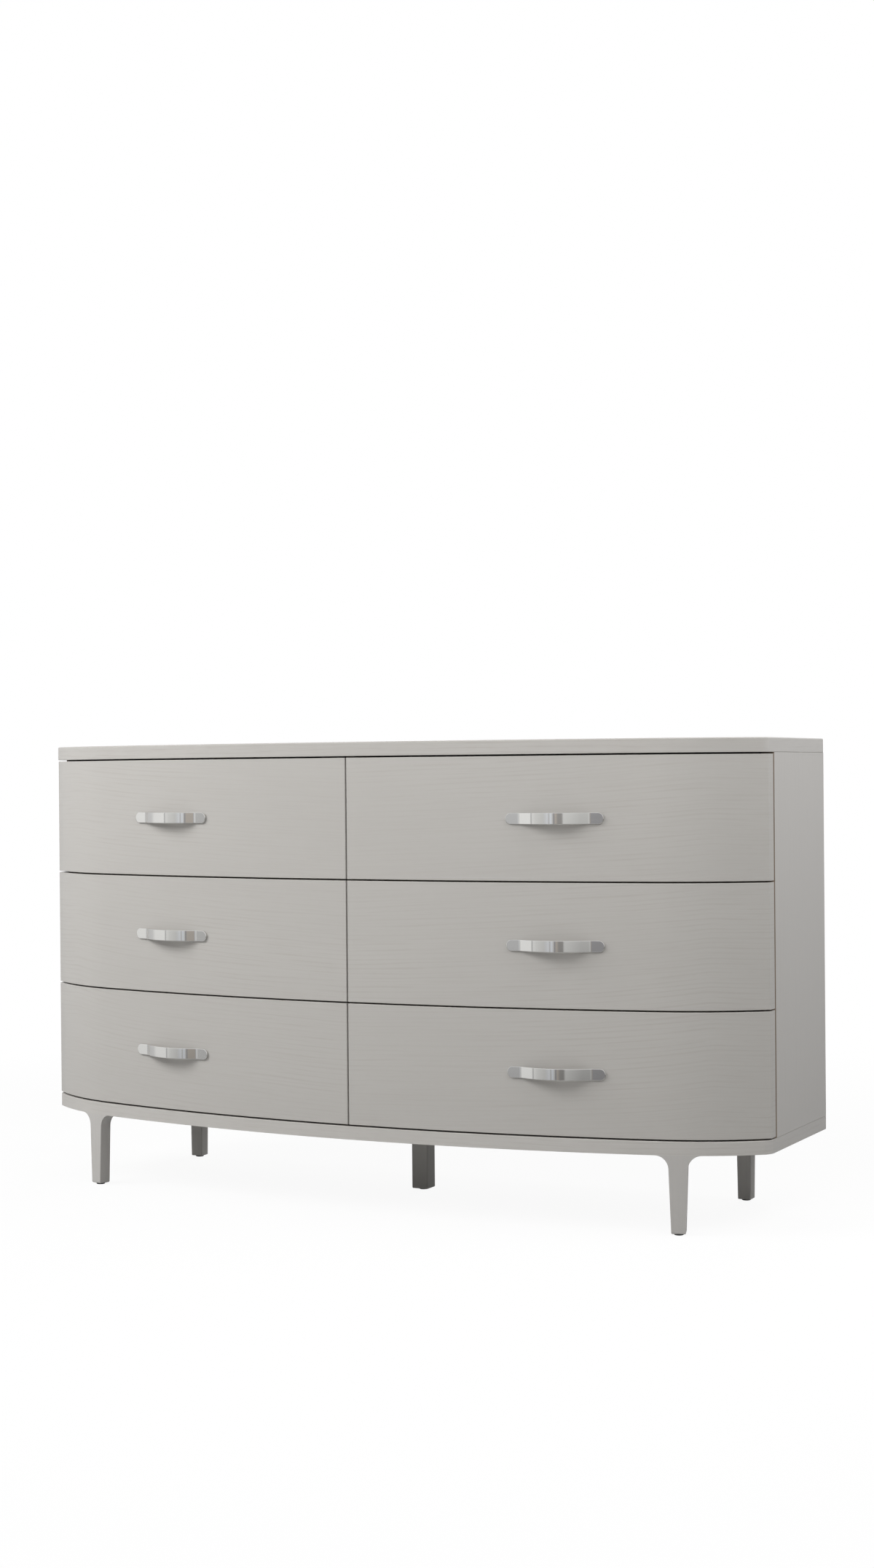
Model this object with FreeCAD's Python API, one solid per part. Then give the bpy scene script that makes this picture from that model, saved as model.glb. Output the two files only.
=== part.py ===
import FreeCAD, Part
import math
import os

# A bow-front dresser: six drawers in two bays, on four slender legs and a centre leg.
# Sizes are in millimetres. The front faces -Y, +X is the viewer's right, +Z is up.
# The origin is on the floor, under the middle of the box that holds the whole piece.

# Plan of the bowed front, taken on the outer faces of the drawer fronts
front_span = 1618.0
front_radius = 2730.0
corner_run = 188.0
corner_angle = 41.2
side_depth = 336.0
side_reveal = 1.0
slab_overhang = 2.0
slab_corner_radius = 7.0
slab_arris = 1.5
top_arris = 2.5

# Heights, from the floor up
glide_height = 3.0
leg_height = 146.5
base_thickness = 26.0
drawer_height = 237.5
drawer_gap = 3.0
top_thickness = 28.0

# Case boards
side_thickness = 20.0
divider_thickness = 20.0
back_thickness = 6.0
back_rabbet = 8.0
shelf_thickness = 16.0
shelf_housing = 5.0

# Drawer fronts and boxes
front_thickness = 20.0
front_arris = 1.0
closing_gap = 1.5
box_headroom = 34.0
box_side_thickness = 12.0
box_back_thickness = 12.0
box_side_clearance = 3.0
box_rear_clearance = 12.0
box_front_housing = 6.0
bottom_thickness = 6.0
bottom_groove = 6.0
bottom_lift = 20.0
running_gap = 0.5

# Running gear: a wooden rail under each drawer, straddled by a channel, and a stop block
drawer_travel = 280.0
runner_width = 22.0
rail_width = 30.0
rail_height = 12.0
rail_setback = 15.0
rail_play = 0.5
rail_headroom = 2.0
channel_width = 54.0
stop_width = 40.0
stop_thickness = 12.0
stop_overlap = 6.0
stop_touch = 1.0

# Strap pulls
pull_inset = 378.0
pull_length = 192.0
pull_height = 22.0
pull_thickness = 4.0
pull_tab = 28.4
pull_rise = 20.5
pull_foot_radius = 14.0
crown_share = 0.405
pull_arris = 1.0
pull_seat_gap = 0.02
screw_spacing = 160.0
screw_radius = 2.0
screw_hole_radius = 2.3
screw_bite = 3.0
screw_head_radius = 4.5
screw_head_height = 2.6

# Front legs, set square to the bow and growing out of it in coves
front_leg_inset = 152.0
front_foot_width = 27.4
front_leg_depth = 25.0
front_leg_taper = 2.1
cove_radius = 26.0
foot_arris = 3.0

# Rear legs and centre leg
rear_leg_side_inset = 157.5
rear_foot_width = 27.0
rear_top_width = 32.0
rear_leg_depth = 27.0
rear_leg_back_inset = 15.0
centre_leg_width = 36.0
centre_leg_y = 69.0
leg_arris = 2.0

# Glides and hanger bolts
glide_radius = 9.0
bolt_radius = 4.0
bolt_in_leg = 38.0
bolt_in_base = 18.0

# Names and places of the drawers
row_names = ("lower", "middle", "upper")
side_signs = (("left", -1), ("right", 1))

# Worked-out heights
base_low = glide_height + leg_height
base_top = base_low + base_thickness
row_pitch = drawer_height + drawer_gap
top_low = base_top + drawer_gap + row_pitch * len(row_names)
top_high = top_low + top_thickness

# Worked-out plan: a long arc, and at each end a shorter arc that carries on from it
half_span = front_span / 2
case_half = half_span + side_reveal
blend_sine = (half_span - corner_run) / front_radius
blend_angle = math.asin(blend_sine)
end_angle = math.radians(corner_angle)
corner_radius = corner_run / (math.sin(end_angle) - blend_sine)
bow_depth = (
    front_radius * (1 - math.cos(blend_angle))
    + corner_radius * (math.cos(blend_angle) - math.cos(end_angle))
)
back_y = (slab_overhang + bow_depth + side_depth) / 2
front_y = back_y - side_depth - bow_depth
bow_centre_y = front_y + front_radius
corner_centre_x = (front_radius - corner_radius) * blend_sine
corner_centre_y = bow_centre_y - (front_radius - corner_radius) * math.cos(blend_angle)

# Worked-out places along the front
front_leg_x = half_span - front_leg_inset
rear_leg_x = half_span - rear_leg_side_inset
pull_centre = half_span - pull_inset

# Worked-out places inside the case
case_front = -(front_thickness + closing_gap)
side_inner_x = case_half - side_thickness
divider_x = divider_thickness / 2
back_inner_y = back_y - back_thickness
box_near_x = divider_x + box_side_clearance
box_far_x = side_inner_x - box_side_clearance
box_rear_y = back_inner_y - box_rear_clearance
rail_x = (box_near_x + box_far_x) / 2
beyond = 20.0


def block(x_low, x_high, y_low, y_high, z_low, z_high):
    """A rectangular board between two corners."""
    size = (x_high - x_low, y_high - y_low, z_high - z_low)
    return Part.makeBox(*size, FreeCAD.Vector(x_low, y_low, z_low))


def arc_point(centre_x, centre_y, radius, angle):
    """A plan point on an arc; the angle is 0 straight ahead and grows to the right."""
    return (centre_x + radius * math.sin(angle), centre_y - radius * math.cos(angle))


def bow_face(outset, end_x, rear_y):
    """Plan face behind the bow, moved outwards by outset and ending at the sides end_x."""
    long_radius = front_radius + outset
    short_radius = corner_radius + outset
    last_angle = math.asin((end_x - corner_centre_x) / short_radius)
    middle_angle = (blend_angle + last_angle) / 2
    blend = arc_point(0, bow_centre_y, long_radius, blend_angle)
    bend = arc_point(corner_centre_x, corner_centre_y, short_radius, middle_angle)
    end = arc_point(corner_centre_x, corner_centre_y, short_radius, last_angle)

    def at(point, side):
        return FreeCAD.Vector(side * point[0], point[1], 0)

    crown = FreeCAD.Vector(0, bow_centre_y - long_radius, 0)
    right_rear = FreeCAD.Vector(end_x, rear_y, 0)
    left_rear = FreeCAD.Vector(-end_x, rear_y, 0)
    edges = [
        Part.Arc(at(blend, -1), crown, at(blend, 1)).toShape(),
        Part.Arc(at(blend, 1), at(bend, 1), at(end, 1)).toShape(),
        Part.LineSegment(at(end, 1), right_rear).toShape(),
        Part.LineSegment(right_rear, left_rear).toShape(),
        Part.LineSegment(left_rear, at(end, -1)).toShape(),
        Part.Arc(at(end, -1), at(bend, -1), at(blend, -1)).toShape(),
    ]
    return Part.Face(Part.Wire(edges))


def bow_board(outset, end_x, rear_y, z_low, z_high):
    """A board with the bowed plan, between two heights."""
    board = bow_face(outset, end_x, rear_y).extrude(FreeCAD.Vector(0, 0, z_high - z_low))
    board.translate(FreeCAD.Vector(0, 0, z_low))
    return board


def behind_bow(outset, x_low, x_high, rear_y, z_low, z_high):
    """The stretch of a bowed board between two planes across the case."""
    board = bow_board(outset, case_half, rear_y, z_low, z_high)
    return board.common(block(x_low, x_high, -2 * rear_y, rear_y, z_low, z_high))


def to_side(shape, side):
    """The right-hand shape, or its mirror image for the left."""
    if side > 0:
        return shape
    return shape.mirror(FreeCAD.Vector(0, 0, 0), FreeCAD.Vector(1, 0, 0))


def row_low(row):
    """Height of the lower edge of a row's drawer fronts."""
    return base_top + drawer_gap + row * row_pitch


def shelf_top(row):
    """Height of the surface that a row's drawers run on."""
    return row_low(row) - drawer_gap / 2 + shelf_thickness / 2


def box_low(row):
    """Height of the lower edge of a row's drawer boxes."""
    return shelf_top(row) + running_gap


def shelf_low(row):
    """Height of the underside of the shelf that a row's drawers run on."""
    return shelf_top(row) - shelf_thickness


def ceiling(row):
    """Height of the board above a row's drawers."""
    if row == len(row_names) - 1:
        return top_low
    return shelf_low(row + 1)


def box_high(row):
    """Height of the upper edge of a row's drawer boxes, which are all as tall as the lowest."""
    box_height = ceiling(0) - box_headroom - box_low(0)
    return box_low(row) + box_height


# Case


def slab(z_low, z_high):
    """Top or base: a bowed board, flush with the case's sides, with soft front corners."""
    board = bow_board(slab_overhang, case_half, back_y, z_low, z_high)
    corners = [
        edge for edge in board.Edges
        if abs(edge.BoundBox.ZLength - (z_high - z_low)) < 0.01
        and abs(abs(edge.BoundBox.Center.x) - case_half) < 0.01
        and edge.BoundBox.Center.y < 0
    ]
    return board.makeFillet(slab_corner_radius, corners)


def ease_rim(board, height, arris):
    """Rounds over a slab's edge at one height, along its front and sides."""
    rim = [
        edge for edge in board.Edges
        if edge.BoundBox.ZLength < 0.01 and edge.BoundBox.YMin < back_y - 0.01
        and abs(edge.BoundBox.ZMin - height) < 0.01
    ]
    return board.makeFillet(arris, rim)


def top_slab():
    """Top, eased a little at the drawers and more at its upper rim."""
    board = ease_rim(slab(top_low, top_high), top_low, slab_arris)
    return ease_rim(board, top_high, top_arris)


def dust_shelf(row):
    """Board under a right-hand drawer, housed in the side panel and the divider."""
    return behind_bow(
        case_front, divider_x - shelf_housing, side_inner_x + shelf_housing,
        back_inner_y, shelf_low(row), shelf_top(row),
    )


def dust_shelves(row):
    """Both boards of a row."""
    return [to_side(dust_shelf(row), sign) for name, sign in side_signs]


def side_panel():
    """Right-hand end of the case, with housings for the shelves and a rabbet for the back."""
    panel = behind_bow(case_front, side_inner_x, case_half, back_y, base_top, top_low)
    for row in (1, 2):
        panel = panel.cut(dust_shelf(row))
    return panel.cut(back_panel())


def center_divider():
    """Upright board between the bays."""
    board = behind_bow(case_front, -divider_x, divider_x, back_inner_y, base_top, top_low)
    for row in (1, 2):
        for shelf in dust_shelves(row):
            board = board.cut(shelf)
    return board


def back_panel():
    """Thin board let into the side panels."""
    reach = side_inner_x + back_rabbet
    return block(-reach, reach, back_inner_y, back_y, base_top, top_low)


def base_runners():
    """Strips on the base that carry the edges of the lower drawers."""
    strips = []
    for low_x in (divider_x, side_inner_x - runner_width):
        strip = behind_bow(
            case_front, low_x, low_x + runner_width, back_inner_y, base_top, shelf_top(0),
        )
        strips += [to_side(strip, sign) for name, sign in side_signs]
    return strips


def rail_floor(row):
    """Height of the board that a row's rails are fixed to."""
    return base_top if row == 0 else shelf_top(row)


def rail_top(row):
    """Height of the upper face of a row's rails."""
    return shelf_top(row) + rail_height


def center_rails():
    """Rails that steer the drawers, one under the middle of each."""
    rails = []
    for row in range(len(row_names)):
        rail = behind_bow(
            case_front - rail_setback, rail_x - rail_width / 2, rail_x + rail_width / 2,
            back_inner_y, rail_floor(row), rail_top(row),
        )
        rails += [to_side(rail, sign) for name, sign in side_signs]
    return rails


def drawer_stops():
    """Blocks under the board above each drawer, which catch its back when it is open."""
    stops = []
    stop_y = box_rear_y - box_back_thickness - drawer_travel - stop_touch
    for row in range(len(row_names)):
        stop_low = box_high(row) - stop_overlap
        stop = block(
            rail_x - stop_width / 2, rail_x + stop_width / 2,
            stop_y - stop_thickness, stop_y, stop_low, ceiling(row),
        )
        stops += [to_side(stop, sign) for name, sign in side_signs]
    return stops


# Legs


def front_leg_angle():
    """How far the right front leg is turned with the bow."""
    return math.asin((front_leg_x - corner_centre_x) / (corner_radius + slab_overhang))


def front_leg():
    """Right front leg: a tapered post that spreads into coves under the base."""
    slope = math.radians(front_leg_taper)
    cove_z = leg_height - cove_radius
    touch_z = cove_z + cove_radius * math.sin(slope)
    touch_x = front_foot_width / 2 + touch_z * math.tan(slope)
    cove_x = touch_x + cove_radius * math.cos(slope)
    middle_angle = math.radians(135) - slope / 2
    foot_x = front_foot_width / 2

    def at(x, z, side):
        return FreeCAD.Vector(side * x, 0, z)

    edges = [Part.LineSegment(at(cove_x, leg_height, -1), at(cove_x, leg_height, 1)).toShape()]
    for side in (1, -1):
        cove_middle = at(
            cove_x + cove_radius * math.cos(middle_angle),
            cove_z + cove_radius * math.sin(middle_angle), side,
        )
        cove = Part.Arc(at(cove_x, leg_height, side), cove_middle, at(touch_x, touch_z, side))
        edges.append(cove.toShape())
        edges.append(Part.LineSegment(at(touch_x, touch_z, side), at(foot_x, 0, side)).toShape())
    edges.append(Part.LineSegment(at(foot_x, 0, -1), at(foot_x, 0, 1)).toShape())
    profile = Part.Face(Part.Wire(Part.__sortEdges__(edges)))
    profile.translate(FreeCAD.Vector(0, -front_leg_depth, glide_height))
    post = profile.extrude(FreeCAD.Vector(0, 3 * front_leg_depth, 0))
    turn = front_leg_angle()
    place = arc_point(corner_centre_x, corner_centre_y, corner_radius + slab_overhang, turn)
    post.rotate(FreeCAD.Vector(0, 0, 0), FreeCAD.Vector(0, 0, 1), math.degrees(turn))
    post.translate(FreeCAD.Vector(place[0], place[1], 0))
    outer = bow_board(slab_overhang, half_span, back_y, glide_height, base_low)
    inner = bow_board(slab_overhang - front_leg_depth, half_span, back_y, glide_height, base_low)
    leg = post.common(outer).cut(inner)
    foot_edges = [edge for edge in leg.Edges if edge.BoundBox.ZMax < glide_height + 0.01]
    return leg.makeFillet(foot_arris, foot_edges)


def front_leg_centre():
    """Plan point in the middle of the right front leg's thickness."""
    radius = corner_radius + slab_overhang - front_leg_depth / 2
    return arc_point(corner_centre_x, corner_centre_y, radius, front_leg_angle())


def rear_leg_y():
    """Middle of the rear legs' depth."""
    return back_y - rear_leg_back_inset - rear_leg_depth / 2


def ring(width, depth, z):
    """Closed rectangle around the vertical axis."""
    x = width / 2
    y = depth / 2
    corners = [(-x, -y), (x, -y), (x, y), (-x, y), (-x, -y)]
    return Part.makePolygon([FreeCAD.Vector(cx, cy, z) for cx, cy in corners])


def rear_leg():
    """Right rear leg: a post that narrows towards the floor."""
    foot = ring(rear_foot_width, rear_leg_depth, glide_height)
    head = ring(rear_top_width, rear_leg_depth, base_low)
    leg = Part.makeLoft([foot, head], True, True)
    edges = [edge for edge in leg.Edges if edge.BoundBox.ZMin < base_low - 0.01]
    leg = leg.makeFillet(leg_arris, edges)
    leg.translate(FreeCAD.Vector(rear_leg_x, rear_leg_y(), 0))
    return leg


def center_leg():
    """Plain post under the middle of the base."""
    half = centre_leg_width / 2
    leg = block(-half, half, centre_leg_y - half, centre_leg_y + half, glide_height, base_low)
    edges = [edge for edge in leg.Edges if edge.BoundBox.ZMin < base_low - 0.01]
    return leg.makeFillet(leg_arris, edges)


def leg_places():
    """Plan points under the five legs."""
    front = front_leg_centre()
    places = [(sign * front[0], front[1]) for name, sign in side_signs]
    places += [(sign * rear_leg_x, rear_leg_y()) for name, sign in side_signs]
    return places + [(0, centre_leg_y)]


def leg_glides():
    """Domed pads that the legs stand on."""
    glides = []
    for x, y in leg_places():
        pad = Part.makeCylinder(glide_radius, glide_height, FreeCAD.Vector(x, y, 0))
        rim = [edge for edge in pad.Edges if edge.BoundBox.ZMax < 0.01]
        glides.append(pad.makeFillet(glide_height / 2, rim))
    return glides


def leg_bolts():
    """Hanger bolts that hold the legs to the base."""
    length = bolt_in_leg + bolt_in_base
    return [
        Part.makeCylinder(bolt_radius, length, FreeCAD.Vector(x, y, base_low - bolt_in_leg))
        for x, y in leg_places()
    ]


# Drawers, built for the right-hand bay and mirrored for the left


def box_sides(row):
    """The two sides of a drawer box, the near one longer than the outer one."""
    boards = []
    for low_x in (box_near_x, box_far_x - box_side_thickness):
        boards.append(behind_bow(
            box_front_housing - front_thickness, low_x, low_x + box_side_thickness,
            box_rear_y, box_low(row), box_high(row),
        ))
    return boards


def bottom_low(row):
    """Height of the underside of a drawer's bottom."""
    return box_low(row) + bottom_lift


def drawer_bottom(row):
    """Thin bottom, let into grooves in the sides and the front."""
    inset = box_side_thickness - bottom_groove
    return behind_bow(
        bottom_groove - front_thickness, box_near_x + inset, box_far_x - inset,
        box_rear_y, bottom_low(row), bottom_low(row) + bottom_thickness,
    )


def drawer_sides(row):
    """Box sides with the groove for the bottom."""
    bottom = drawer_bottom(row)
    return [board.cut(bottom) for board in box_sides(row)]


def drawer_back(row):
    """Back of the box, standing on the bottom between the sides."""
    return block(
        box_near_x + box_side_thickness, box_far_x - box_side_thickness,
        box_rear_y - box_back_thickness, box_rear_y,
        bottom_low(row) + bottom_thickness, box_high(row),
    )


def guide_channel(row):
    """Grooved strip under the bottom, which straddles the rail."""
    strip = behind_bow(
        -front_thickness, rail_x - channel_width / 2, rail_x + channel_width / 2,
        box_rear_y, box_low(row), bottom_low(row),
    )
    groove_x = rail_width / 2 + rail_play
    groove = block(
        rail_x - groove_x, rail_x + groove_x, 2 * front_y, back_y,
        box_low(row), rail_top(row) + rail_headroom,
    )
    return strip.cut(groove)


def pull_frame(shape, row):
    """Moves a shape from the pull's own axes (X along it, -Y outwards) to its drawer."""
    turn = math.asin(pull_centre / front_radius)
    place = arc_point(0, bow_centre_y, front_radius, turn)
    moved = shape.copy()
    moved.rotate(FreeCAD.Vector(0, 0, 0), FreeCAD.Vector(0, 0, 1), math.degrees(turn))
    moved.translate(FreeCAD.Vector(place[0], place[1], row_low(row) + drawer_height / 2))
    return moved


def pull_bend():
    """Angle of the strap's ramps, inner end of its flat tabs, and radius of its crown."""
    # A ramp runs straight from the tabs' plane to the plane of the crown's top. Its two
    # corners are rounded, the outer one by the crown, which reaches the pull's middle.
    corner_x = pull_length / 2 - pull_tab
    crest_x = crown_share * corner_x
    ramp = math.atan2(pull_rise, corner_x - crest_x)
    tab_x = corner_x + pull_foot_radius * math.tan(ramp / 2)
    return ramp, tab_x, crest_x / math.tan(ramp / 2)


def pull_path(outset):
    """Edges of the strap's bend from its left tab to its right one, moved outwards by outset."""
    ramp, tab_x, crown_radius = pull_bend()
    crown_y = crown_radius - pull_rise

    def foot_point(angle, side):
        radius = pull_foot_radius - outset
        x = tab_x - radius * math.sin(angle)
        return FreeCAD.Vector(side * x, radius * math.cos(angle) - pull_foot_radius, 0)

    def crown_point(angle):
        radius = crown_radius + outset
        return FreeCAD.Vector(radius * math.sin(angle), crown_y - radius * math.cos(angle), 0)

    edges = []
    for side in (-1, 1):
        foot = Part.Arc(foot_point(0, side), foot_point(ramp / 2, side), foot_point(ramp, side))
        edges.append(foot.toShape())
        ramp_line = Part.LineSegment(foot_point(ramp, side), crown_point(side * ramp))
        edges.append(ramp_line.toShape())
    edges.append(Part.Arc(crown_point(-ramp), crown_point(0), crown_point(ramp)).toShape())
    return edges, foot_point(0, -1), foot_point(0, 1)


def pull_blank():
    """Strap in the pull's own axes: rounded tabs on the drawer front and a bow between them."""
    inner_edges, inner_left, inner_right = pull_path(0)
    outer_edges, outer_left, outer_right = pull_path(pull_thickness)
    end = pull_length / 2
    outline = list(inner_edges) + list(outer_edges)
    for side, inner, outer in ((-1, inner_left, outer_left), (1, inner_right, outer_right)):
        inner_end = FreeCAD.Vector(side * end, inner.y, 0)
        outer_end = FreeCAD.Vector(side * end, outer.y, 0)
        outline.append(Part.LineSegment(inner, inner_end).toShape())
        outline.append(Part.LineSegment(inner_end, outer_end).toShape())
        outline.append(Part.LineSegment(outer_end, outer).toShape())
    face = Part.Face(Part.Wire(Part.__sortEdges__(outline)))
    face.translate(FreeCAD.Vector(0, 0, -pull_height / 2))
    strap = face.extrude(FreeCAD.Vector(0, 0, pull_height))
    reach = pull_rise + 2 * pull_thickness
    half = pull_height / 2
    window = block(half - end, end - half, -reach, reach, -half, half)
    for x in (half - end, end - half):
        disc = Part.makeCylinder(
            half, 2 * reach, FreeCAD.Vector(x, -reach, 0), FreeCAD.Vector(0, 1, 0),
        )
        window = window.fuse(disc)
    strap = strap.common(window.removeSplitter())
    return strap.makeFillet(pull_arris, pull_rims(strap))


def pull_rims(strap):
    """Edges of the strap that a hand meets: its long edges and the outer rounds of its tabs."""
    rims = []
    for edge in strap.Edges:
        middle = edge.valueAt((edge.FirstParameter + edge.LastParameter) / 2)
        long_edge = abs(abs(middle.z) - pull_height / 2) < 0.01
        past_tab = abs(middle.x) > pull_length / 2 - pull_height / 2 + 0.01
        round_edge = past_tab and abs(middle.y + pull_thickness) < 0.01
        if long_edge or round_edge:
            rims.append(edge)
    return rims


def pull_seat():
    """How far behind the pull's middle its flat tabs sit on the bowed drawer front."""
    ramp, tab_x, crown_radius = pull_bend()
    return front_radius - math.sqrt(front_radius ** 2 - tab_x ** 2) - pull_seat_gap


def seated_pull():
    """The strap on its seat, with blind holes for its screws."""
    strap = pull_blank()
    strap.translate(FreeCAD.Vector(0, pull_seat(), 0))
    for screw in pull_screw_blanks(screw_radius):
        strap = strap.cut(screw)
    return strap


def pull_screw_blanks(radius):
    """The shanks of both screws in the pull's own axes, at a given radius."""
    start = FreeCAD.Vector(0, pull_seat() - screw_bite, 0)
    length = 2 * front_thickness
    shanks = []
    for side in (-1, 1):
        place = start + FreeCAD.Vector(side * screw_spacing / 2, 0, 0)
        shanks.append(Part.makeCylinder(radius, length, place, FreeCAD.Vector(0, 1, 0)))
    return shanks


def screw_seat_y():
    """Depth, in the pull's own axes, at which the screw heads meet the inside of the front."""
    inner_radius = front_radius - front_thickness
    reach = screw_spacing / 2 + screw_head_radius
    return front_radius - math.sqrt(inner_radius ** 2 - reach ** 2)


def pull_screws(row):
    """Two screws through the front into the pull, with round heads inside the drawer."""
    screws = []
    start_y = pull_seat() - screw_bite
    seat_y = screw_seat_y()
    for side in (-1, 1):
        place = FreeCAD.Vector(side * screw_spacing / 2, start_y, 0)
        shank = Part.makeCylinder(
            screw_radius, seat_y - start_y, place, FreeCAD.Vector(0, 1, 0),
        )
        head = Part.makeCylinder(
            screw_head_radius, screw_head_height,
            FreeCAD.Vector(side * screw_spacing / 2, seat_y, 0), FreeCAD.Vector(0, 1, 0),
        )
        screws.append(pull_frame(shank.fuse(head).removeSplitter(), row))
    return screws


def drawer_front(row):
    """Bent front with eased edges, housed for the box and drilled for the pull."""
    low = row_low(row)
    high = low + drawer_height
    stretch = block(drawer_gap / 2, half_span, -2 * back_y, back_y, low - beyond, high + beyond)
    outer = bow_board(0, half_span, back_y, low, high).common(stretch)
    inner = bow_board(-front_thickness, half_span + beyond, back_y, low, high)
    front = outer.cut(inner)
    front = front.makeFillet(front_arris, show_edges(front))
    for board in box_sides(row):
        front = front.cut(board)
    front = front.cut(drawer_bottom(row))
    for hole in pull_screw_blanks(screw_hole_radius):
        front = front.cut(pull_frame(hole, row))
    return front


def show_edges(front):
    """The edges around the outer face of a drawer front, without the seam between its bends."""
    edges = []
    for edge in front.Edges:
        middle = edge.valueAt((edge.FirstParameter + edge.LastParameter) / 2)
        from_bow = math.hypot(middle.x, middle.y - bow_centre_y) - front_radius
        from_bend = math.hypot(middle.x - corner_centre_x, middle.y - corner_centre_y)
        outside = abs(from_bow) < 0.01 or abs(from_bend - corner_radius) < 0.01
        seam = abs(middle.x - (half_span - corner_run)) < 0.01
        if outside and not seam:
            edges.append(edge)
    return edges


# Everything that is written, node by node


def case_nodes():
    """The pieces that stand still."""
    leg_and_name = (("front_leg", front_leg()), ("rear_leg", rear_leg()))
    bolts = leg_bolts()
    nodes = {
        "top_panel": [top_slab()],
        "base_panel": [ease_rim(slab(base_low, base_top), base_top, slab_arris)],
        "center_divider": [center_divider()],
        "back_panel": [back_panel()],
        "upper_dust_shelves": dust_shelves(2),
        "lower_dust_shelves": dust_shelves(1),
        "base_runners": base_runners(),
        "center_rails": center_rails(),
        "drawer_stops": drawer_stops(),
        "center_leg": [center_leg()],
        "leg_glides": leg_glides(),
        "leg_bolts": bolts,
    }
    for name, sign in side_signs:
        nodes[name + "_side_panel"] = [to_side(side_panel(), sign)]
        for leg_name, leg in leg_and_name:
            nodes[name + "_" + leg_name] = [to_side(leg, sign)]
    bored = [node for node in nodes if node.endswith("_leg") or node == "base_panel"]
    for node in bored:
        for bolt in bolts:
            nodes[node] = [solid.cut(bolt) for solid in nodes[node]]
    return nodes


def drawer_nodes(row, side):
    """The pieces of one drawer."""
    pieces = {
        "drawer_front": [drawer_front(row)],
        "drawer_sides": drawer_sides(row),
        "drawer_back": [drawer_back(row)],
        "drawer_bottom": [drawer_bottom(row)],
        "guide_channel": [guide_channel(row)],
        "pull": [pull_frame(seated_pull(), row)],
        "pull_screws": pull_screws(row),
    }
    return {piece: [to_side(solid, side) for solid in solids] for piece, solids in pieces.items()}


def write_node(name, solids):
    """Writes one node, as a group where it holds several separate solids."""
    shape = solids[0] if len(solids) == 1 else Part.makeCompound(solids)
    shape.exportStep(os.path.join("parts", name + ".step"))


os.makedirs("parts", exist_ok=True)
for case_name, case_solids in case_nodes().items():
    write_node(case_name, case_solids)
for row_index, row_name in enumerate(row_names):
    for side_name, side_sign in side_signs:
        for piece_name, piece_solids in drawer_nodes(row_index, side_sign).items():
            write_node(row_name + "_" + side_name + "_" + piece_name, piece_solids)
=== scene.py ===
import math

import bmesh
import bpy
from mathutils import Matrix, Vector


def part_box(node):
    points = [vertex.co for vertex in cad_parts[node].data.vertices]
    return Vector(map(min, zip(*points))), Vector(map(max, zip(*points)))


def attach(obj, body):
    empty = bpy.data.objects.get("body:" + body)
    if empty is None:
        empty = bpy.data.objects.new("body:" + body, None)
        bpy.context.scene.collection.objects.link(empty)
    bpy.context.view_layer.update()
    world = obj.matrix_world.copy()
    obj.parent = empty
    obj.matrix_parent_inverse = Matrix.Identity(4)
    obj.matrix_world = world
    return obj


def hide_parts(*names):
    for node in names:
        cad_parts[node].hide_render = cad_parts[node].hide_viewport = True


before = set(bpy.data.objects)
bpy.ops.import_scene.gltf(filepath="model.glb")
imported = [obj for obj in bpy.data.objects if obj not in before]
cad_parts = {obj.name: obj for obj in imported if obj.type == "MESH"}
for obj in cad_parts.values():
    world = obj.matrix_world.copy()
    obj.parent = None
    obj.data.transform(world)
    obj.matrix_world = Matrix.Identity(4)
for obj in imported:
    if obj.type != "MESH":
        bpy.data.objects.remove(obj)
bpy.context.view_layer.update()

# Sizes in metres. They are the solid model's, apart from the eased edges, the base's softer
# front corners and the end boards' setback

FRONT_SPAN = 1.618
FRONT_RADIUS = 2.730
CORNER_RUN = 0.188
CORNER_ANGLE = math.radians(41.2)
SIDE_DEPTH = 0.336
SIDE_REVEAL = 0.001
SLAB_OVERHANG = 0.002
SLAB_CORNER = 0.007
BASE_CORNER = 0.014
SLAB_ARRIS = 0.0012
OUTER_ARRIS = 0.0025
SIDE_THICKNESS = 0.020
BOARD_ARRIS = 0.0006
SIDE_FRONT_SETBACK = 0.0222
SIDE_FRONT_ARRIS = 0.0008
SIDE_FOOT_ARRIS = 0.0009
DRAWER_GAP = 0.003
FRONT_THICKNESS = 0.020
FRONT_ARRIS = 0.0011
FRONT_END_ARRIS = 0.0008

PULL_INSET = 0.378
PULL_LENGTH = 0.192
PULL_HEIGHT = 0.022
PULL_THICKNESS = 0.004
PULL_TAB = 0.0284
PULL_RISE = 0.0205
PULL_FOOT_RADIUS = 0.014
CROWN_SHARE = 0.405
PULL_ARRIS = 0.0011
PULL_SEAT_GAP = 0.00002

FRONT_LEG_INSET = 0.152
FRONT_FOOT_WIDTH = 0.0274
FRONT_LEG_DEPTH = 0.025
FRONT_LEG_TAPER = math.radians(2.1)
COVE_RADIUS = 0.026
FOOT_ARRIS = 0.003
LEG_ARRIS = 0.0012

# How finely curves are divided

BOW_STEPS = 44
SLAB_CORNER_STEPS = 14
FRONT_CORNER_STEPS = 32
FRONT_SWEEP = math.radians(46)
COVE_STEPS = 20
LEG_SLICE = 0.004
STRAP_SLICE = 0.0015
STRAP_END_SEGMENTS = 56

# How near counts as touching or as on a face, and from what angle an edge is eased or
# shaded as sharp

CUT_NEAR = 1e-7
WELD = 1e-6
NEAR = 1e-4
FACE_NEAR = 5e-4
OUTER_NEAR = 9e-4
SHARP_ANGLE = math.radians(35)
SHADING_ANGLE = math.radians(40)

# From what share of a face's normal it counts as level, as facing forward or as facing in

LEVEL_FACE = 0.7
FORWARD_FACE = 0.55
INWARD_FACE = 0.3

# The bow in plan: a long arc, and at each end a shorter arc that carries on from it

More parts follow.
